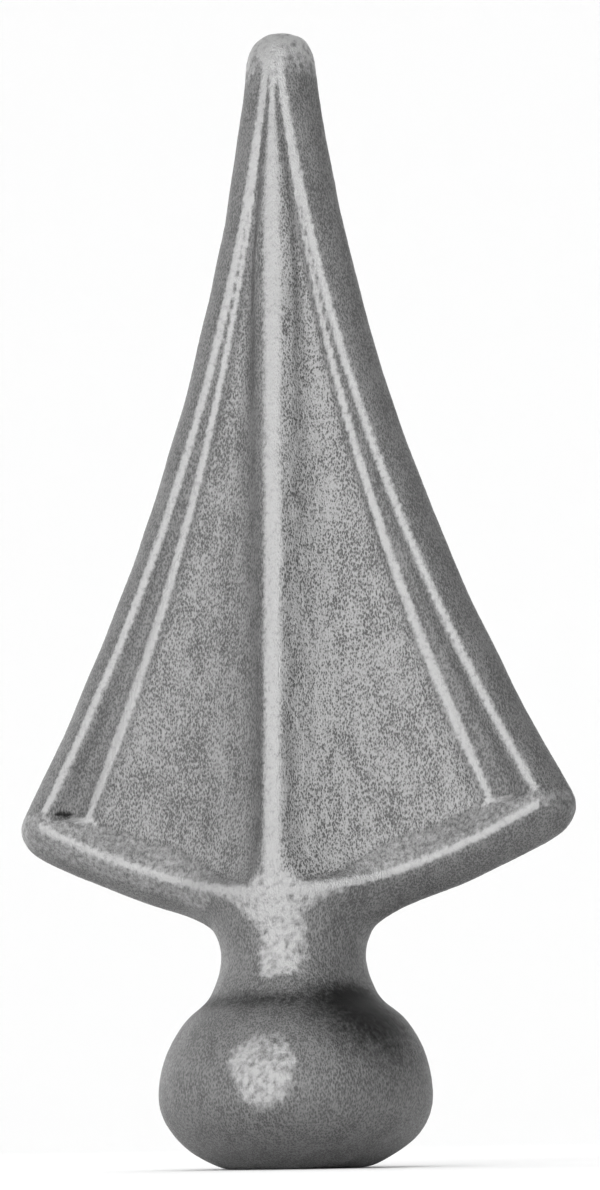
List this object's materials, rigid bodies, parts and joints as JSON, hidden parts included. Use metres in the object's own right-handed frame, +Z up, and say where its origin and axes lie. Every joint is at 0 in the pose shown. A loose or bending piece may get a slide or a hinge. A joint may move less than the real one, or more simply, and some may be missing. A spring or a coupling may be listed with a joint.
{
  "type": "fence spear point",
  "caption": "Cast iron spear-shaped fence finial: a barbed, ribbed and rimmed blade on a round neck and flattened ball with a flat seat for a picket's end.",
  "frame": {"origin": "middle of the flat round seat under the ball, the lowest point of the casting", "axes": "+Z up from the seat to the tip; +X towards one barb, across the blade's width; -Y is the broad front face, and the back is the same"},
  "size_m": [0.0686, 0.0326, 0.14],
  "materials": {
    "cast_iron": "raw sand-cast grey iron, grainy panels, smoother rims with bright worn ridges"
  },
  "bodies": {
    "root": {"spear_point": "cast_iron"}
  },
  "joints": []
}
